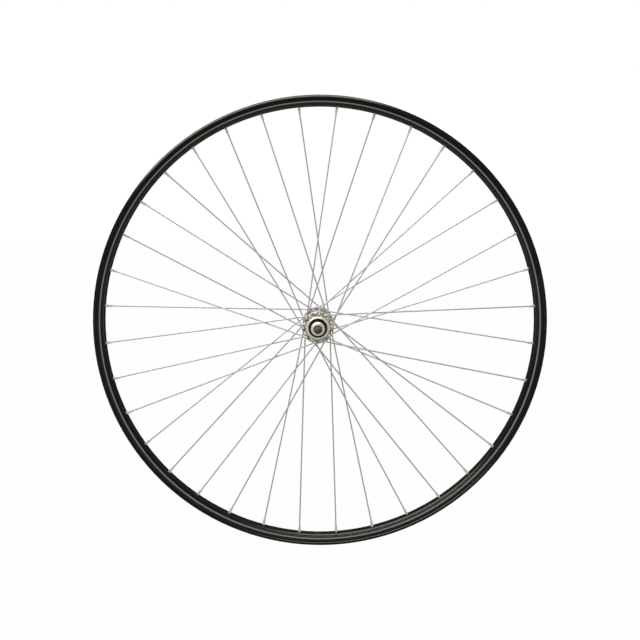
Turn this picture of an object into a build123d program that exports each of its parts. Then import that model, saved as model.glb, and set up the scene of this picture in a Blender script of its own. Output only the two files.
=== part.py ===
from build123d import *
from build123d.topology import SkipClean
import math
import os

# A front bicycle wheel without its tyre: a black box-section rim, laced three-cross to a cup-and-cone hub.
# Millimetres. The spin axis is Y, +Z is up and the origin is the wheel's centre. Left is +Y, right is -Y.
# A bearing is an angle about the spin axis that turns from +X towards +Z. The valve hole points down.

# Rim: heights run along the radius, widths run across the wheel
bead_seat_diameter = 622.0
lip_height = 6.5            # bead seat to the top of the lips
rim_depth = 14.6            # top of the lips to the spoke bed
rim_width = 24.5            # over the lips
tyre_width = 17.0           # between the hooks of the lips
lip_round = 2.2             # radius of the lips' outer bulge
track_inset = 1.85          # lip to brake track
track_foot = 8.4            # top of the lips to the foot of the brake track
ledge = 1.6                 # sloping step from the brake track to the box
corner_round = 3.9          # radius between the box's side and the spoke bed
hook_depth = 0.8
hook_height = 2.4
shelf_width = 2.0           # bead seat
well_depth = 2.5            # bead seat to the floor of the well
well_width = 9.8
box_wall = 1.6
well_wall = 1.3
band_turn = 15.0            # most that one band of a rounding turns
valve_hole_diameter = 6.5
valve_bearing = 270.0

# Spokes and nipples
spoke_count = 36
spoke_diameter = 2.0
crosses = 3
spoke_head_diameter = 3.9
spoke_head_height = 1.3
elbow_radius = 2.4
weave_radius = 30.0         # bend where two spokes of a flange are woven
weave_clearance = 0.25      # between the woven spokes, at their corners
elbow_clearance = 0.2       # spoke to flange face
stagger = 1.5               # spoke holes of the rim, off the middle to each side
nipple_diameter = 4.0
nipple_flats = 3.3
nipple_length = 12.4
nipple_head_diameter = 6.0
nipple_head_height = 2.0    # above its seat
nipple_collar = 3.2         # round neck under the seat
nipple_slot = 1.0
thread_clearance = 0.03
nipple_clearance = 0.2
access_hole_diameter = 7.6

# Hub: a barrel with a flange end pressed on each side
flange_spacing = 69.0       # middle to middle
flange_diameter = 44.0
flange_thickness = 3.0
flange_round = 0.8
hole_circle = 38.6
spoke_hole_diameter = 2.6
hole_bevel = 0.4
barrel_diameter = 25.0
shell_bore = 20.0
spigot_diameter = 22.6      # barrel's ends, inside the flange ends
spigot_length = 3.0
housing_wall = 2.2          # around the bearing pockets
flare_radius = 14.0         # hollow curve from the barrel out to the housings
root_round = 1.0            # between a housing and its flange
boss_diameter = 33.2
boss_height = 4.2           # flange face to the end of the shell
boss_taper = 1.7            # the boss narrows by this much towards its end
pocket_diameter = 27.0      # holds the bearing cup and the dust cap
pocket_depth = 11.0

# Bearings
ball_diameter = 4.7625
ball_count = 10
ball_circle = 18.0
race_clearance = 0.05
cup_length = 7.0
cup_floor = 1.1
cup_lip = 8.0               # radius of the cup's inner edge

# Axle ends, from the wheel's middle outwards
axle_diameter = 9.0
axle_bore = 5.2
axle_length = 108.0
axle_end_diameter = 8.6     # plain ends that a fork's slots take
axle_thread_past = 0.6      # thread that shows past the locknuts
over_locknuts = 100.0
axle_chamfer = 0.5
cone_nose = 1.4
cone_shoulder_diameter = 19.8
cone_shoulder_width = 2.6
cone_neck_diameter = 17.2
cone_flats = 13.0
cone_flats_diameter = 15.0
cone_flats_width = 2.6
washer_thickness = 1.4
washer_diameter = 17.0
locknut_diameter = 19.0
locknut_rim_width = 2.6
locknut_hex_width = 2.6
locknut_flats = 16.0
locknut_face_diameter = 13.8    # flat that clamps the fork
locknut_bevel = 1.8         # height of the bevel around that flat

# Dust caps, seals and plugs
dust_cap_sheet = 0.8
dust_cap_depth = 2.8
dust_cap_inset = 0.4        # below the end of the shell
seal_diameter = 24.4
seal_width = 2.6
seal_bevel = 1.3
seal_gap = 0.35             # running gap between seal and dust cap
plug_head_diameter = 11.9
plug_head_height = 3.5
plug_round = 0.9
plug_dome = 0.8
plug_stem_length = 14.0
plug_clearance = 0.05
plug_seat_gap = 0.05

# Radii and places that follow from the sizes above
bead_seat_radius = bead_seat_diameter / 2
lip_radius = bead_seat_radius + lip_height
bed_radius = lip_radius - rim_depth
spoke_radius = spoke_diameter / 2
spoke_pitch = 360 / spoke_count
lacing_turn = 2 * crosses * spoke_pitch
hole_radius = hole_circle / 2
flange_outside = (flange_spacing + flange_thickness) / 2
flange_inside = (flange_spacing - flange_thickness) / 2
shell_end = flange_outside + boss_height
pocket_radius = pocket_diameter / 2
pocket_floor = shell_end - pocket_depth
barrel_radius = barrel_diameter / 2
bore_radius = shell_bore / 2
spigot_radius = spigot_diameter / 2
housing_radius = pocket_radius + housing_wall
flare_turn = math.acos(1 - (housing_radius - barrel_radius) / flare_radius)
flare_start = pocket_floor - flare_radius * math.sin(flare_turn)
spigot_end = flare_start + spigot_length
ball_radius = ball_diameter / 2
race_radius = ball_radius + race_clearance
ball_circle_radius = ball_circle / 2
ball_place = pocket_floor + cup_floor + race_radius
locknut_face = over_locknuts / 2
thread_radius = axle_diameter / 2 + thread_clearance
thread_end = locknut_face + axle_thread_past
axle_end = axle_length / 2
cone_shoulder_end = ball_place + race_radius + cone_shoulder_width
seal_end = cone_shoulder_end + seal_width
locknut_start = locknut_face - locknut_rim_width - locknut_hex_width
washer_start = locknut_start - washer_thickness


def turned(*outline):
    """A solid of revolution about Y. The outline's points are places along Y and radii."""
    return revolve(Plane.YZ * make_face(Curve() + list(outline)), Axis.Y, clean=False)


def turned_points(*points):
    return turned(Polyline(*points, close=True))


def bands(centre, radius, start, turn):
    """A rounding of the hoop, as narrow bands."""
    count = math.ceil(turn / band_turn)
    step = turn / count
    return [CenterArc(centre, radius, start + band * step, step) for band in range(count)]


def both_ways(*outline):
    """The outline and its mirror image across the wheel's middle."""
    return [*outline, *(mirror(piece, about=Plane.YZ) for piece in outline)]


def around(shape, bearing):
    return Rot(0, -bearing, 0) * shape


def other_side(shape):
    return Rot(180, 0, 0) * shape


def plan(radius, bearing, across):
    angle = math.radians(bearing)
    return Vector(radius * math.cos(angle), across, radius * math.sin(angle))


# Lacing: a spoke in plan runs straight from its hub hole to its seat on the rim, whose bearing is 0
seat_radius = bed_radius + box_wall
run_hub = plan(hole_radius, lacing_turn, 0)
run_rim = plan(seat_radius, 0, 0)
run_length = (run_rim - run_hub).length
run_direction = (run_rim - run_hub).normalized()
along_hub = run_hub.dot(run_direction)
edge_run = math.sqrt(along_hub**2 + (flange_diameter / 2) ** 2 - hole_radius**2) - along_hub

# Share of the run at which a spoke meets the last one that it crosses, where the two are woven
weave_hub = hole_radius * math.sin(math.radians(lacing_turn - spoke_pitch))
weave_rim = seat_radius * math.sin(math.radians(spoke_pitch))
weave_share = weave_hub / (weave_hub + weave_rim)
weave_offset = (spoke_diameter + weave_clearance) / 2

# The inner spokes leave the flange on its inside, the outer ones on its outside, clear of its edge
inner_elbow = flange_inside - spoke_radius - elbow_clearance
edge_share = edge_run / run_length / weave_share
over_edge = flange_outside + spoke_radius + elbow_clearance
weave_fixed = (inner_elbow * (1 - weave_share)) / 2 + stagger * weave_share - weave_offset
weave_follow = (1 - weave_share) / 2
outer_elbow = (over_edge - edge_share * weave_fixed) / (1 - edge_share + edge_share * weave_follow)
weave_middle = weave_follow * (inner_elbow + outer_elbow) + stagger * weave_share


def lacing(outer):
    """Points of a right-hand spoke: head, elbow, weave and seat on the rim."""
    turn = lacing_turn if outer else -lacing_turn
    head = flange_inside if outer else flange_outside
    elbow = outer_elbow if outer else inner_elbow
    weave = weave_middle - weave_offset if outer else weave_middle + weave_offset
    hole = plan(hole_radius, turn, 0)
    seat = plan(seat_radius, 0, -stagger)
    woven = hole + (plan(seat_radius, 0, 0) - hole) * weave_share
    return [
        hole + Vector(0, -head, 0),
        hole + Vector(0, -elbow, 0),
        woven + Vector(0, -weave, 0),
        seat,
    ]


def make_spoke(outer):
    head, elbow, weave, seat = lacing(outer)
    tip = seat + (seat - weave).normalized() * (nipple_head_height - nipple_slot)
    path = FilletPolyline(head, elbow, weave, tip, radius=[elbow_radius, weave_radius])
    wire = sweep(Plane(head, z_dir=elbow - head) * Circle(spoke_radius), path=path)
    rim_of_head = spoke_head_diameter / 2
    flare = rim_of_head - spoke_radius
    profile = Polyline(
        (0, 0),
        (spoke_radius, 0),
        (rim_of_head, -flare / 2),
        (rim_of_head, -spoke_head_height / 2),
        (spoke_radius, -spoke_head_height),
        (0, -spoke_head_height),
        close=True,
    )
    dome = revolve(Plane.XZ * make_face(profile), Axis.Z)
    return wire + Plane(head, z_dir=elbow - head) * dome


def nipple_place(outer):
    weave, seat = lacing(outer)[2:]
    return Plane(seat, x_dir=(0, 1, 0), z_dir=seat - weave)


# The nipple stands on Z with its seat at the origin: the head is above and the shank below
nipple_radius = nipple_diameter / 2
nipple_head_radius = nipple_head_diameter / 2
nipple_cone = nipple_head_radius - nipple_radius
nipple_end = nipple_head_height - nipple_length


def make_nipple():
    profile = Polyline(
        (spoke_radius + thread_clearance, nipple_end),
        (nipple_flats / 2, nipple_end),
        (nipple_radius, nipple_end + nipple_cone),
        (nipple_radius, -nipple_cone / 2),
        (nipple_head_radius, nipple_cone / 2),
        (nipple_head_radius, nipple_head_height - nipple_cone / 2),
        (nipple_head_radius - nipple_cone / 2, nipple_head_height),
        (spoke_radius + thread_clearance, nipple_head_height),
        close=True,
    )
    body = revolve(Plane.XZ * make_face(profile), Axis.Z)
    flats_length = nipple_length - nipple_head_height - nipple_collar
    sleeve = Rectangle(nipple_head_diameter, nipple_head_diameter) - Rectangle(nipple_flats, nipple_flats)
    slot = Box(nipple_head_diameter, nipple_slot, 2 * nipple_slot)
    body -= Pos(0, 0, nipple_end) * extrude(sleeve, flats_length)
    return body - Pos(0, 0, nipple_head_height) * slot


def make_nipple_drill():
    """The spoke hole with its countersink, and the access hole behind it, on the nipple's axis."""
    hole = nipple_radius + nipple_clearance
    countersink = nipple_head_radius + nipple_clearance
    access = access_hole_diameter / 2
    profile = Polyline(
        (0, -rim_depth),
        (hole, -rim_depth),
        (hole, nipple_clearance / 2 - nipple_cone / 2),
        (countersink, nipple_clearance / 2 + nipple_cone / 2),
        (countersink, nipple_cone),
        (access, nipple_cone),
        (access, rim_depth),
        (0, rim_depth),
        close=True,
    )
    return revolve(Plane.XZ * make_face(profile), Axis.Z)


def make_rim():
    lip_half = rim_width / 2
    lip_middle = lip_half - lip_round
    track_half = lip_half - track_inset
    track_foot_radius = lip_radius - track_foot
    box_half = track_half - ledge
    bed_half = box_half - corner_round
    hook_half = tyre_width / 2
    hook_round = lip_middle - hook_half
    wall_half = hook_half + hook_depth
    shelf_half = wall_half - shelf_width
    well_half = well_width / 2
    well_radius = bead_seat_radius - well_depth
    lip_turn = math.degrees(math.acos((track_half - lip_middle) / lip_round))
    outside = both_ways(
        *bands((bed_half, bed_radius + corner_round), corner_round, -90, 90),
        Polyline(
            (box_half, bed_radius + corner_round),
            (box_half, track_foot_radius - ledge),
            (track_half, track_foot_radius),
            (track_half, lip_radius - lip_round - lip_round * math.sin(math.radians(lip_turn))),
        ),
        *bands((lip_middle, lip_radius - lip_round), lip_round, -lip_turn, 90 + lip_turn),
        *bands((lip_middle, lip_radius - hook_round), hook_round, 90, 90),
        Polyline(
            (hook_half, lip_radius - hook_round),
            (hook_half, lip_radius - hook_height),
            (wall_half, lip_radius - hook_height - hook_depth),
            (wall_half, bead_seat_radius),
            (shelf_half, bead_seat_radius),
            (well_half, well_radius),
        ),
    )
    bed_line = Line((-bed_half, bed_radius), (bed_half, bed_radius))
    well_line = Line((-well_half, well_radius), (well_half, well_radius))
    # The well's wall is equally thick on its floor and on its slope
    slope = Vector(shelf_half - well_half, well_depth).normalized()
    ceiling = well_radius - well_wall
    ceiling_half = well_half + well_wall * (1 - slope.X) / slope.Y
    inside_half = box_half - box_wall
    ceiling_rise = (inside_half - ceiling_half) * slope.Y / slope.X
    cavity = both_ways(
        *bands((bed_half, bed_radius + corner_round), corner_round - box_wall, -90, 90),
        Polyline(
            (inside_half, bed_radius + corner_round),
            (inside_half, ceiling + ceiling_rise),
            (ceiling_half, ceiling),
        ),
    )
    seat_line = Line((-bed_half, seat_radius), (bed_half, seat_radius))
    ceiling_line = Line((-ceiling_half, ceiling), (ceiling_half, ceiling))
    drill = make_nipple_drill()
    valve_drill = Rot(0, 90, 0) * Cylinder(valve_hole_diameter / 2, 4 * rim_depth)
    # The bands of a rounding stay apart, because a mesh follows a narrow band of a large hoop more closely
    with SkipClean():
        hoop = turned(bed_line, *outside, well_line) - turned(seat_line, *cavity, ceiling_line)
        for index, (side, outer) in enumerate(spoke_order()):
            hoop -= around(side(nipple_place(outer) * drill), spoke_bearing(index))
        return hoop - around(Pos(bed_radius, 0, 0) * valve_drill, valve_bearing)


def right_side(shape):
    return shape


def spoke_order():
    """Side and kind of each spoke in turn around the rim, starting above +X."""
    turn = [(right_side, True), (other_side, True), (right_side, False), (other_side, False)]
    return turn * (spoke_count // len(turn))


def spoke_bearing(index):
    return (index + 0.5) * spoke_pitch


def make_hub_barrel():
    half = turned_points(
        (0, bore_radius),
        (0, barrel_radius),
        (flare_start, barrel_radius),
        (flare_start, spigot_radius),
        (spigot_end, spigot_radius),
        (spigot_end, bore_radius),
    )
    return half + other_side(half)


def make_hub_flange():
    flange = flange_diameter / 2
    boss = boss_diameter / 2
    flare_centre = (flare_start, barrel_radius + flare_radius)
    end = turned(
        CenterArc(flare_centre, flare_radius, -90, math.degrees(flare_turn)),
        Line((pocket_floor, housing_radius), (flange_inside - root_round, housing_radius)),
        CenterArc((flange_inside - root_round, housing_radius + root_round), root_round, -90, 90),
        Line((flange_inside, housing_radius + root_round), (flange_inside, flange - flange_round)),
        CenterArc((flange_inside + flange_round, flange - flange_round), flange_round, 180, -90),
        Line((flange_inside + flange_round, flange), (flange_outside - flange_round, flange)),
        CenterArc((flange_outside - flange_round, flange - flange_round), flange_round, 90, -90),
        Polyline(
            (flange_outside, flange - flange_round),
            (flange_outside, boss),
            (shell_end - boss_taper / 2, boss - boss_taper),
            (shell_end, boss - boss_taper - boss_taper / 2),
            (shell_end, pocket_radius),
            (pocket_floor, pocket_radius),
            (pocket_floor, bore_radius),
            (spigot_end, bore_radius),
            (spigot_end, spigot_radius),
            (flare_start, spigot_radius),
            (flare_start, barrel_radius),
        ),
    )
    hole = spoke_hole_diameter / 2
    drill = turned_points(
        (flange_inside - hole_bevel, 0),
        (flange_inside - hole_bevel, hole + 2 * hole_bevel),
        (flange_inside + hole_bevel, hole),
        (flange_outside - hole_bevel, hole),
        (flange_outside + hole_bevel, hole + 2 * hole_bevel),
        (flange_outside + hole_bevel, 0),
    )
    for index in range(1, spoke_count, 2):
        end -= around(Pos(hole_radius, 0, 0) * drill, spoke_bearing(index))
    return end


def make_bearing_cup():
    return turned(
        Polyline(
            (ball_place, ball_circle_radius + race_radius),
            (pocket_floor + cup_length, ball_circle_radius + race_radius),
            (pocket_floor + cup_length, pocket_radius),
            (pocket_floor, pocket_radius),
            (pocket_floor, cup_lip),
            (ball_place - race_radius, cup_lip),
            (ball_place - race_radius, ball_circle_radius),
        ),
        CenterArc((ball_place, ball_circle_radius), race_radius, 180, -90),
    )


def make_ball_set():
    ball = Pos(ball_circle_radius, ball_place, 0) * Sphere(ball_radius)
    return Compound(children=[around(ball, index * 360 / ball_count) for index in range(ball_count)])


def make_cone():
    shoulder = ball_place + race_radius
    flats_start = washer_start - cone_flats_width
    cone = turned(
        Polyline(
            (ball_place, ball_circle_radius - race_radius),
            (ball_place - cone_nose, ball_circle_radius - race_radius),
            (ball_place - cone_nose, thread_radius),
            (washer_start, thread_radius),
            (washer_start, cone_flats_diameter / 2),
            (flats_start, cone_flats_diameter / 2),
            (seal_end, cone_neck_diameter / 2),
            (cone_shoulder_end, cone_neck_diameter / 2),
            (cone_shoulder_end, cone_shoulder_diameter / 2),
            (shoulder, cone_shoulder_diameter / 2),
            (shoulder, ball_circle_radius),
        ),
        CenterArc((ball_place, ball_circle_radius), race_radius, 0, -90),
    )
    jaw_middle = (cone_flats + cone_flats_diameter) / 2
    jaw = Box(cone_flats_diameter, cone_flats_width, cone_flats_diameter)
    jaw = Pos(0, flats_start + cone_flats_width / 2, jaw_middle) * jaw
    return cone - jaw - Rot(0, 180, 0) * jaw


def make_lock_washer():
    return turned_points(
        (washer_start, thread_radius),
        (washer_start, washer_diameter / 2),
        (locknut_start, washer_diameter / 2),
        (locknut_start, thread_radius),
    )


def make_locknut():
    rim_start = locknut_face - locknut_rim_width
    bore = Rot(-90, 0, 0) * Cylinder(thread_radius, 2 * axle_length)
    hexagon = extrude(RegularPolygon(locknut_flats / 2, 6, major_radius=False), locknut_hex_width)
    rim = turned_points(
        (rim_start, 0),
        (rim_start, locknut_diameter / 2),
        (locknut_face - locknut_bevel, locknut_diameter / 2),
        (locknut_face, locknut_face_diameter / 2),
        (locknut_face, 0),
    )
    return Pos(0, locknut_start, 0) * Rot(-90, 0, 0) * hexagon + rim - bore


def make_axle():
    half = turned_points(
        (0, axle_bore / 2),
        (axle_end, axle_bore / 2),
        (axle_end, axle_end_diameter / 2 - axle_chamfer),
        (axle_end - axle_chamfer, axle_end_diameter / 2),
        (thread_end, axle_end_diameter / 2),
        (thread_end, axle_diameter / 2),
        (0, axle_diameter / 2),
    )
    return half + other_side(half)


def make_dust_cap():
    face = shell_end - dust_cap_inset
    opening = seal_diameter / 2 + seal_gap
    return turned_points(
        (face, opening),
        (face, pocket_radius),
        (face - dust_cap_depth, pocket_radius),
        (face - dust_cap_depth, pocket_radius - dust_cap_sheet),
        (face - dust_cap_sheet, pocket_radius - dust_cap_sheet),
        (face - dust_cap_sheet, opening),
    )


def make_seal():
    seal = seal_diameter / 2
    neck = cone_neck_diameter / 2
    return turned_points(
        (cone_shoulder_end, neck),
        (cone_shoulder_end, seal),
        (seal_end - seal_bevel, seal),
        (seal_end, seal - seal_bevel),
        (seal_end, neck),
    )


def make_axle_plug():
    base = axle_end + plug_seat_gap
    face = base + plug_head_height
    head = plug_head_diameter / 2
    stem = axle_bore / 2 - plug_clearance
    shoulder = face - plug_dome
    dome_edge = head - plug_round
    dome_radius = (dome_edge**2 + plug_dome**2) / (2 * plug_dome)
    dome_sag = dome_radius - math.sqrt(dome_radius**2 - (dome_edge / 2) ** 2)
    return turned(
        Polyline(
            (face, 0),
            (base - plug_stem_length, 0),
            (base - plug_stem_length, stem - plug_round),
            (base - plug_stem_length + plug_round, stem),
            (base, stem),
            (base, dome_edge),
        ),
        CenterArc((base + plug_round, dome_edge), plug_round, 180, -90),
        Line((base + plug_round, head), (shoulder - plug_round, head)),
        CenterArc((shoulder - plug_round, dome_edge), plug_round, 90, -90),
        ThreePointArc((shoulder, dome_edge), (face - dome_sag, dome_edge / 2), (face, 0)),
    )


nodes = {
    "rim": make_rim(),
    "hub_barrel": make_hub_barrel(),
    "axle": make_axle(),
}

spokes = {outer: make_spoke(outer) for outer in (True, False)}
nipple = make_nipple()
nipples = {right_side: [], other_side: []}
for index, (side, outer) in enumerate(spoke_order()):
    bearing = spoke_bearing(index)
    nodes[f"spoke_{index + 1:02d}"] = around(side(spokes[outer]), bearing)
    nipples[side].append(around(side(nipple_place(outer) * nipple), bearing))
nodes["nipples_right"] = Compound(children=nipples[right_side])
nodes["nipples_left"] = Compound(children=nipples[other_side])

ends = {
    "hub_flange": make_hub_flange(),
    "bearing_cup": make_bearing_cup(),
    "ball_set": make_ball_set(),
    "cone": make_cone(),
    "dust_cap": make_dust_cap(),
    "seal": make_seal(),
    "lock_washer": make_lock_washer(),
    "locknut": make_locknut(),
    "axle_plug": make_axle_plug(),
}
for name, piece in ends.items():
    nodes[f"{name}_left"] = piece
    nodes[f"{name}_right"] = other_side(piece)

os.makedirs("parts", exist_ok=True)
for name, shape in nodes.items():
    export_step(shape, f"parts/{name}.step")
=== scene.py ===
import math
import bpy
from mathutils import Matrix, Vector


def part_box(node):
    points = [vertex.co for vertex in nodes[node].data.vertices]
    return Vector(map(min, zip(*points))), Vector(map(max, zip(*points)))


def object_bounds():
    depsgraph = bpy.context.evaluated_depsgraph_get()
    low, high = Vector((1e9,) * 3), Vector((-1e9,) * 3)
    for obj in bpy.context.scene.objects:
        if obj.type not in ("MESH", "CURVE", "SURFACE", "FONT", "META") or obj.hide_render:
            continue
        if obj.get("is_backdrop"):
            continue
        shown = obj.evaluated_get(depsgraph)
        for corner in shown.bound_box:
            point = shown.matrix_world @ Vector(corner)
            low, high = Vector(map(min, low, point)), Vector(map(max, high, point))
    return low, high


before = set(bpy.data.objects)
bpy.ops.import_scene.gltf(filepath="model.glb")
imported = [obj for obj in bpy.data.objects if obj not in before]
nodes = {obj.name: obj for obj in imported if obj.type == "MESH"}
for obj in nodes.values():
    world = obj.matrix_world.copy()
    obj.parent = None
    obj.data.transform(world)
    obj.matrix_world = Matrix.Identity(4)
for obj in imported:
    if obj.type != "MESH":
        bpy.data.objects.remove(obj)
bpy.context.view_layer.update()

from types import SimpleNamespace
import bpy
from mathutils import Vector

mm = 0.001
print("frame loaded:", len(nodes), "nodes")


# a shader socket that adds and multiplies like a number
class Value:
    def __init__(self, socket):
        self.socket = socket

    def __add__(self, other):
        return maths("ADD", self, other)

    def __radd__(self, other):
        return maths("ADD", other, self)

    def __sub__(self, other):
        return maths("SUBTRACT", self, other)

    def __rsub__(self, other):
        return maths("SUBTRACT", other, self)

    def __mul__(self, other):
        return maths("MULTIPLY", self, other)

    def __rmul__(self, other):
        return maths("MULTIPLY", other, self)

    def __pow__(self, other):
        return maths("POWER", self, other)

    def __abs__(self):
        return maths("ABSOLUTE", self)


def plug(socket, value):
    if isinstance(value, Value):
        socket.id_data.links.new(value.socket, socket)
    else:
        socket.default_value = value


def maths(operation, *parts):
    tree = next(part.socket.id_data for part in parts if isinstance(part, Value))
    made = tree.nodes.new("ShaderNodeMath")
    made.operation = operation
    for socket, part in zip(made.inputs, parts):
        plug(socket, part)
    return Value(made.outputs[0])


# the node tree of one material or of the world
class Look:
    def __init__(self, owner):
        owner.use_nodes = True
        self.owner = owner
        self.tree = owner.node_tree
        self.tree.nodes.clear()

    # every node but plain maths: settings first, then sockets by name or number; gives the outputs by name
    def node(self, kind, settings={}, inputs={}):
        made = self.tree.nodes.new("ShaderNode" + kind)
        for name, value in settings.items():
            setattr(made, name, value)
        sockets = {socket.name: socket for socket in made.inputs if socket.enabled}
        for name, value in inputs.items():
            plug(made.inputs[name] if isinstance(name, int) else sockets[name], value)
        return {socket.name: Value(socket) for socket in made.outputs if socket.enabled}

    # a point of the wheel: its coordinates, distance from the spin axis and bearing
    def place(self):
        point = self.node("TexCoord")["Object"]
        split = self.node("SeparateXYZ", inputs={"Vector": point})
        x, y, z = split["X"], split["Y"], split["Z"]
        radius = (x * x + z * z) ** 0.5
        return SimpleNamespace(point=point, x=x, y=y, z=z, radius=radius, bearing=maths("ARCTAN2", z, x))

    def vector(self, x, y, z):
        return self.node("CombineXYZ", inputs={"X": x, "Y": y, "Z": z})["Vector"]

    def noise(self, vector, scale, detail=2.0):
        return self.node("TexNoise", inputs={"Vector": vector, "Scale": scale, "Detail": detail})["Fac"]

    # 0 below low, 1 above high, smooth between
    def step(self, value, low, high):
        inputs = {"Value": value, "From Min": low, "From Max": high}
        return self.node("MapRange", {"interpolation_type": "SMOOTHSTEP"}, inputs)["Result"]

    def band(self, value, low, high, soft):
        return self.step(value, low - soft, low + soft) * (1 - self.step(value, high - soft, high + soft))

    def mix(self, share, first, second):
        return self.node("Mix", {"data_type": "RGBA"}, {"Factor": share, "A": first, "B": second})["Result"]

    def bump(self, height, strength, distance):
        inputs = {"Height": height, "Strength": strength, "Distance": distance}
        return self.node("Bump", inputs=inputs)["Normal"]

    def principled(self, inputs):
        return self.node("BsdfPrincipled", inputs=inputs)["BSDF"]

    def surface(self, shader):
        kind = "OutputWorld" if isinstance(self.owner, bpy.types.World) else "OutputMaterial"
        self.node(kind, inputs={"Surface": shader})
        return self.owner


# how far a noise swings a value to either side
def sway(noise, amount):
    return (noise - 0.5) * amount


def newLook(name):
    return Look(bpy.data.materials.new(name))


def grey(level, warmth=0.0, yellow=0.0):
    return (level * (1 + warmth), level, level * (1 - 2 * warmth - yellow), 1)


def dress(material, names):
    for name in names:
        nodes[name].data.materials.clear()
        nodes[name].data.materials.append(material)


def bothSides(*names):
    return [name + side for name in names for side in ("_left", "_right")]


# black anodised rim: glossy but for the spoke bed; the ledge under the brake track is painted paler as a painted
# reflection, and the outermost lip edge darker as painted shade
rimLook = {
    "black": grey(0.052, 0.05),
    "bedBlack": grey(0.012, 0.05),
    # painted shade: a darker colour for the outermost lip edge
    "shadedEdgeBlack": grey(0.012, 0.05),
    # painted reflection: a paler tone for the ledge
    "ledgeReflectionTone": grey(0.165, 0.04),
    "bareTone": grey(0.55, 0.02),
    "edgeTint": grey(0.40),
    "roughness": 0.20,
    "ledgeRoughness": 0.5,
    "depth": 14.6 * mm,
    "cornerHeight": 0.25 * mm,
    "ledgeFoot": 10.0 * mm,
    "ledgeTop": 8.4 * mm,
    "ledgeSide": 8.7 * mm,
    "ledgeSoft": 0.12 * mm,
    "valveRadius": 3.25 * mm,
    "valveEdge": 0.35 * mm,
    "shoulderFoot": 3.1 * mm,
    "shoulderTop": 1.3 * mm,
    "shoulderHeight": 0.8 * mm,
    "shadedEdgeFrom": 1.4 * mm,
    "shadedEdgeTo": 0.8 * mm,
    "grain": 4000.0,
    "grainAlong": 3.0,
    "grainHeight": 0.0015 * mm,
    "grainRoughness": 0.08,
    "cloud": 40.0,
    "cloudRoughness": 0.06,
}


def makeRimMaterial(size):
    look = newLook("blackAnodised")
    at = look.place()
    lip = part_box("rim")[1].x
    bed = lip - size["depth"]
    soft = size["ledgeSoft"]
    side = look.step(abs(at.y), size["ledgeSide"] - soft, size["ledgeSide"] + soft)
    ledge = look.band(at.radius, lip - size["ledgeFoot"], lip - size["ledgeTop"], soft) * side
    spokeBed = 1 - look.step(at.radius, bed, bed + size["cornerHeight"])
    # the valve hole is drilled after the anodising, so its edge is bare
    fromValve = (at.x * at.x + at.y * at.y) ** 0.5
    bare = 1 - look.step(fromValve, size["valveRadius"], size["valveRadius"] + size["valveEdge"])
    bare = bare * look.step(0 - at.z, 0, bed)
    # lines of the extrusion run around the hoop
    line = look.vector(at.radius * size["grain"], at.y * size["grain"], at.bearing * size["grainAlong"])
    grain = look.noise(line, 1.0, detail=3.0)
    cloud = look.noise(at.point, size["cloud"])
    # a rolled shoulder along each lip, and painted shade that darkens the outermost edge to dull its highlight
    shoulder = (1 - look.step(at.radius, lip - size["shoulderFoot"], lip - size["shoulderTop"])) * side
    height = shoulder * size["shoulderHeight"] + grain * size["grainHeight"]
    edge = look.step(at.radius, lip - size["shadedEdgeFrom"], lip - size["shadedEdgeTo"])
    # painted shade: the outermost lip edge gets a darker colour that dulls its highlight
    colour = look.mix(edge, size["black"], size["shadedEdgeBlack"])
    colour = look.mix(spokeBed, colour, size["bedBlack"])
    # painted reflection: the ledge is painted paler, standing in for the bright room it mirrors
    colour = look.mix(ledge, colour, size["ledgeReflectionTone"])
    colour = look.mix(bare, colour, size["bareTone"])
    roughness = size["roughness"] + (size["ledgeRoughness"] - size["roughness"]) * ledge
    roughness = roughness + sway(grain, size["grainRoughness"]) + sway(cloud, size["cloudRoughness"])
    return look.surface(look.principled({
        "Base Color": colour,
        "Metallic": (1 - ledge) * (1 - spokeBed),
        "Roughness": roughness,
        "Specular IOR Level": 0.0,
        "Specular Tint": size["edgeTint"],
        "Normal": look.bump(height, 1.0, 1.0),
    }))


dress(makeRimMaterial(rimLook), ["rim"])
print("rim finish made")

# forged alloy hub: a turned boss, paler than the flanges partly as painted light, and painted shade around the
# spoke holes of the flanges
hubLook = {
    "tone": grey(0.67, 0.04, 0.07),
    "bossLitTone": grey(0.76, 0.04, 0.07),
    "holeShadeTone": grey(0.05, 0.04),
    "metal": 0.70,
    "bossMetal": 0.40,
    "roughness": 0.32,
    "holeShadeRoughness": 0.6,
    "bossFrom": 36.2 * mm,
    "edge": 0.1 * mm,
    "holeCircle": 19.3 * mm,
    "holeBearing": math.radians(5),
    "holePitch": math.radians(20),
    "holeShadeReach": (1.5 * mm, 3.0 * mm),
    "holeShadeBase": 0.7,
    "holeShadeCloud": 0.6,
    "turnedRoughness": 0.15,
}
turnedMarks = {"across": 3000.0, "along": 3.0, "depth": 0.02 * mm, "strength": 0.05, "cloud": 120.0}


def turnedLines(look, marks, at):
    line = look.vector(at.radius * marks["across"], at.y * marks["across"], at.bearing * marks["along"])
    return look.noise(line, 1.0, detail=3.0)


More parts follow.
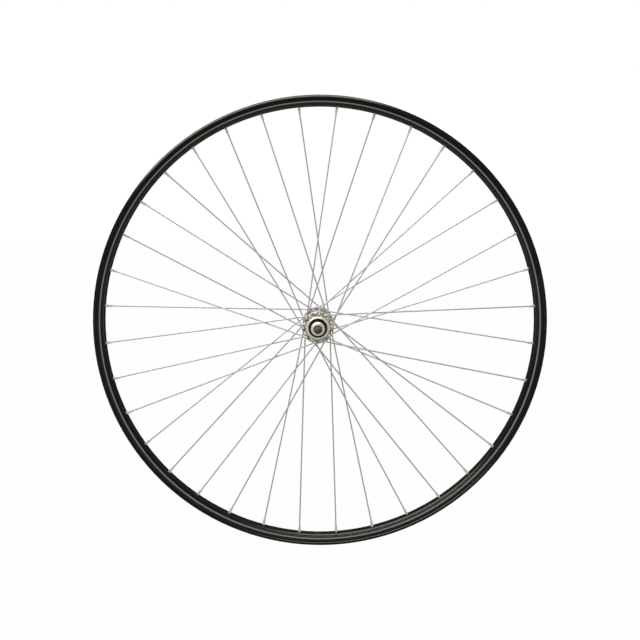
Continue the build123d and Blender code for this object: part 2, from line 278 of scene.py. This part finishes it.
def makeHubMaterial(size, marks):
    look = newLook("forgedAlloy")
    at = look.place()
    turned = turnedLines(look, marks, at)
    cloud = look.noise(at.point, marks["cloud"], detail=3.0)
    boss = look.step(abs(at.y), size["bossFrom"] - size["edge"], size["bossFrom"] + size["edge"])
    # the holes of the left flange lie between those of the right one
    left = maths("GREATER_THAN", at.y, 0)
    phase = (at.bearing - size["holeBearing"]) * (1 / size["holePitch"]) - left * 0.5
    across = (phase - maths("ROUND", phase)) * (size["holePitch"] * size["holeCircle"])
    up = at.radius - size["holeCircle"]
    fromHole = (across * across + up * up) ** 0.5
    # painted shade: a dark patch around each spoke hole, where the holes and spoke heads cast shade
    holeShade = (1 - look.step(fromHole, *size["holeShadeReach"])) * (1 - boss)
    holeShade = holeShade * (size["holeShadeBase"] + size["holeShadeCloud"] * cloud)
    roughness = size["roughness"] + (size["holeShadeRoughness"] - size["roughness"]) * holeShade
    # the boss is paler partly for its turned finish and partly as painted light; the flanges keep the darker tone
    # as painted shade from the spokes
    colour = look.mix(boss, size["tone"], size["bossLitTone"])
    colour = look.mix(holeShade, colour, size["holeShadeTone"])
    return look.surface(look.principled({
        "Base Color": colour,
        "Metallic": size["metal"] + (size["bossMetal"] - size["metal"]) * boss,
        "Roughness": roughness + sway(turned, size["turnedRoughness"]),
        "Normal": look.bump(turned, marks["strength"], marks["depth"]),
    }))


dress(makeHubMaterial(hubLook, turnedMarks), [name for name in nodes if name.startswith("hub_")])
print("hub finish made")

# dull drawn stainless wire, with the heads and elbows at the flanges painted paler as a painted highlight
spokeLook = {
    "tone": grey(0.50, 0.01),
    "streakTone": grey(0.37, 0.01),
    "headHighlightTone": grey(0.74, 0.01),
    "metal": 0.4,
    "headMetal": 0.5,
    "roughness": 0.45,
    "headFrom": 35.8 * mm,
    "headReach": 22.0 * mm,
    "edge": 0.3 * mm,
    "streak": 90.0,
    "streakShare": 0.4,
    "streakRoughness": 0.15,
}


def makeSpokeMaterial(size):
    look = newLook("drawnWire")
    at = look.place()
    line = look.vector(at.radius * size["streak"], at.y * size["streak"], at.bearing * size["streak"])
    streak = look.noise(line, 1.0, detail=3.0)
    edge = size["edge"]
    head = look.step(abs(at.y), size["headFrom"] - edge, size["headFrom"] + edge)
    head = head * (1 - look.step(at.radius, size["headReach"] - edge, size["headReach"] + edge))
    tone = look.mix(streak * size["streakShare"], size["tone"], size["streakTone"])
    return look.surface(look.principled({
        # painted highlight: the heads and elbows get a paler tone
        "Base Color": look.mix(head, tone, size["headHighlightTone"]),
        "Metallic": size["metal"] + (size["headMetal"] - size["metal"]) * head,
        "Roughness": size["roughness"] + sway(streak, size["streakRoughness"]),
    }))


dress(makeSpokeMaterial(spokeLook), [name for name in nodes if name.startswith("spoke_")])
print("spoke finish made")

# plating, ground and pressed steel; the locknuts have serrations, the axle a thread, the caps a darker inner edge
# by the seals
metalLooks = {
    "nickelPlate": {"tone": grey(0.74, 0.02), "metal": 0.45, "roughness": 0.30, "nodes": bothSides("nipples")},
    "groundSteel": {"tone": grey(0.55), "metal": 1.0, "roughness": 0.20,
                    "nodes": bothSides("bearing_cup", "ball_set", "cone", "lock_washer")},
    "chromedCap": {"tone": grey(0.60, 0.02), "metal": 0.4, "roughness": 0.35, "innerDarkTo": 12.95 * mm,
                   "nodes": bothSides("dust_cap")},
    "brightZinc": {"tone": grey(0.82, 0.04, 0.07), "metal": 0.55, "roughness": 0.38, "teeth": 32,
                   "nodes": bothSides("locknut")},
    "blackOxide": {"tone": grey(0.16), "metal": 1.0, "roughness": 0.35, "pitch": 1.0 * mm, "nodes": ["axle"]},
}
cutMarks = {"toothFrom": 49.9 * mm, "toothDepth": 0.25 * mm, "threadTo": 50.6 * mm, "threadDepth": 0.4 * mm}
capInnerDark = {"tone": grey(0.006, 0.05), "edge": 0.1 * mm}
wear = {"shade": 0.8, "share": 0.5, "turnedRoughness": 0.12, "cloudRoughness": 0.08}


def makeMetal(name, size, marks, cuts):
    look = newLook(name)
    at = look.place()
    turned = turnedLines(look, marks, at)
    cloud = look.noise(at.point, marks["cloud"], detail=3.0)
    worn = tuple(wear["shade"] * channel for channel in size["tone"][:3]) + (1,)
    normal = look.bump(turned, marks["strength"], marks["depth"])
    colour = look.mix(cloud * wear["share"], size["tone"], worn)
    metal = size["metal"]
    # the inner edge of each cap next to its seal is darker
    if "innerDarkTo" in size:
        unmarked = look.step(at.radius, size["innerDarkTo"] - capInnerDark["edge"], size["innerDarkTo"] + capInnerDark["edge"])
        colour = look.mix(unmarked, capInnerDark["tone"], colour)
        metal = metal * unmarked
    if "teeth" in size:
        wave = maths("PINGPONG", at.bearing * (size["teeth"] / math.pi), 1.0)
        face = maths("GREATER_THAN", abs(at.y), cuts["toothFrom"])
        normal = look.bump(wave * face, 1.0, cuts["toothDepth"])
    if "pitch" in size:
        wave = maths("PINGPONG", at.y * (2 / size["pitch"]) + at.bearing * (1 / math.pi), 1.0)
        thread = maths("LESS_THAN", abs(at.y), cuts["threadTo"])
        normal = look.bump(wave * thread, 1.0, cuts["threadDepth"])
    roughness = size["roughness"] + sway(turned, wear["turnedRoughness"])
    return look.surface(look.principled({
        "Base Color": colour,
        "Metallic": metal,
        "Roughness": roughness + sway(cloud, wear["cloudRoughness"]),
        "Normal": normal,
    }))


for name, size in metalLooks.items():
    dress(makeMetal(name, size, turnedMarks, cutMarks), size["nodes"])
print("metals made:", len(metalLooks))

# rubber seals and moulded plugs
mouldedLooks = {
    "blackRubber": {"tone": grey(0.006, 0.05), "dust": grey(0.012, 0.05), "roughness": 0.6, "shine": 0.15,
                    "grain": 2500.0, "nodes": bothSides("seal")},
    # painted light: the plugs' paler tone stands for the light on their upper left
    "darkPlastic": {"tone": grey(0.028, 0.06), "dust": grey(0.125, 0.06), "roughness": 0.32, "shine": 0.6,
                    "grain": 1500.0, "dustFrom": (-3.5 * mm, 4.0 * mm), "dustSlope": 0.4, "dustBase": 0.6,
                    "dustCloud": 0.6, "unlitRimFrom": (0.6, 0.9), "nodes": bothSides("axle_plug")},
}
mouldedMarks = {"cloud": 180.0, "specks": (0.4, 0.8), "depth": 0.04 * mm, "strength": 0.12, "grainRoughness": 0.2}


def makeMoulded(name, size, marks):
    look = newLook(name)
    at = look.place()
    grain = look.noise(at.point, size["grain"])
    cloud = look.noise(at.point, marks["cloud"], detail=3.0)
    if "dustFrom" in size:
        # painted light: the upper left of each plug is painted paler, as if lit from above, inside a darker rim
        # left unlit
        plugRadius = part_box(size["nodes"][0])[1].x
        unmarked = look.step(at.radius, *[share * plugRadius for share in size["unlitRimFrom"]])
        dusty = look.step(at.z - size["dustSlope"] * at.x, *size["dustFrom"])
        dusty = dusty * (size["dustBase"] + size["dustCloud"] * cloud) * (1 - unmarked)
    else:
        dusty = look.step(cloud, *marks["specks"])
    return look.surface(look.principled({
        # the rubber's paler tone is real dust specks; the plugs' paler tone is painted light
        "Base Color": look.mix(dusty, size["tone"], size["dust"]),
        "Roughness": size["roughness"] + sway(grain, marks["grainRoughness"]),
        "Specular IOR Level": size["shine"],
        "Normal": look.bump(grain, marks["strength"], marks["depth"]),
    }))


for name, size in mouldedLooks.items():
    dress(makeMoulded(name, size, mouldedMarks), size["nodes"])
print("rubber and plastic made")

# white floor and backdrop behind, softboxes overhead, a dim room in front and at the sides
studio = {
    "floorSize": 24.0,
    "floorGap": 0.3 * mm,
    "floorTone": grey(0.22),
    "floorWhite": 0.985,
    "floorBounce": 1.0,
    "paperFrom": (0.02, 0.25),
    "backdropFrom": (0.35, 0.75),
    "room": 0.95,
    "dim": 0.15,
    "softboxSize": (1.8, 1.9),
    "softboxPlace": (-0.55, -0.05, 1.25),
    "softboxAim": (-0.25, 0.0, 0.0),
    "softboxPower": 20.0,
    "sheenPlace": (-0.55, -0.05, 1.28),
    "sheenPower": 28.0,
}


def rayKinds(look):
    path = look.node("LightPath")
    mirrored = maths("MAXIMUM", path["Is Glossy Ray"], path["Is Transmission Ray"])
    return path["Is Camera Ray"], mirrored, path["Is Diffuse Ray"]


def makeFloor(size):
    bpy.ops.object.select_all(action="DESELECT")
    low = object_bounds()[0].z - size["floorGap"]
    bpy.ops.mesh.primitive_plane_add(size=size["floorSize"], location=(0, 0, low))
    floor = bpy.context.object
    floor.name = "floor"
    look = newLook("floorPaper")
    camera, mirrored, bounced = rayKinds(look)
    lit = look.node("BsdfDiffuse", inputs={"Color": size["floorTone"]})["BSDF"]
    white = look.node("Emission", inputs={"Color": grey(1.0), "Strength": 1.0})["Emission"]
    share = maths("MAXIMUM", camera, mirrored * look.step(look.place().y, *size["paperFrom"]))
    share = share * size["floorWhite"] + bounced * (1 - mirrored) * size["floorBounce"]
    mixed = look.node("MixShader", inputs={0: share, 1: lit, 2: white})["Shader"]
    floor.data.materials.append(look.surface(mixed))
    floor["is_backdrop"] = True


def makeWorld(size):
    world = bpy.data.worlds.new("room")
    bpy.context.scene.world = world
    look = Look(world)
    camera, mirrored = rayKinds(look)[:2]
    direction = look.node("TexCoord")["Generated"]
    y = look.node("SeparateXYZ", inputs={"Vector": direction})["Y"]
    seen = size["dim"] + (1 - size["dim"]) * look.step(y, *size["backdropFrom"])
    level = mirrored * seen + (1 - mirrored) * size["room"]
    strength = camera + (1 - camera) * level
    look.surface(look.node("Background", inputs={"Color": grey(1.0), "Strength": strength})["Background"])


def makeSoftbox(size, name, place, power):
    bpy.ops.object.light_add(type="AREA", location=place)
    lamp = bpy.context.object
    lamp.name = name
    lamp.data.shape = "RECTANGLE"
    lamp.data.size, lamp.data.size_y = size["softboxSize"]
    lamp.data.energy = power
    aim = Vector(size["softboxAim"]) - lamp.location
    lamp.rotation_euler = aim.to_track_quat("-Z", "Y").to_euler()
    lamp.visible_camera = False
    return lamp


makeFloor(studio)
makeWorld(studio)
makeSoftbox(studio, "softbox", studio["softboxPlace"], studio["softboxPower"])
sheen = makeSoftbox(studio, "sheen", studio["sheenPlace"], studio["sheenPower"])
sheen.visible_diffuse = False  # it makes highlights alone
print("studio made")

# the photograph's view: a little above the hub and to the right of the axle
view = {
    "place": (-0.0021, -1.2824, 0.1603),
    "yaw": math.radians(-2.149),
    "pitch": math.radians(-5.90),
    "roll": math.radians(-0.21),
    "focalPixels": 915.1,
    "imagePixels": 640,
    "axisPixel": (282.20, 305.07),
    "sensor": 36.0,
}


def makeCamera(size):
    bpy.ops.object.camera_add(location=size["place"])
    camera = bpy.context.object
    forward = Vector((
        math.sin(size["yaw"]) * math.cos(size["pitch"]),
        math.cos(size["yaw"]) * math.cos(size["pitch"]),
        math.sin(size["pitch"]),
    ))
    camera.rotation_euler = forward.to_track_quat("-Z", "Y").to_euler()
    camera.rotation_euler.rotate_axis("Z", size["roll"])
    camera.data.sensor_width = size["sensor"]
    camera.data.lens = size["focalPixels"] * size["sensor"] / size["imagePixels"]
    camera.data.shift_x = 0.5 - size["axisPixel"][0] / size["imagePixels"]
    camera.data.shift_y = size["axisPixel"][1] / size["imagePixels"] - 0.5
    bpy.context.scene.camera = camera


makeCamera(view)
bpy.context.scene.view_settings.view_transform = "Standard"
print("camera placed")
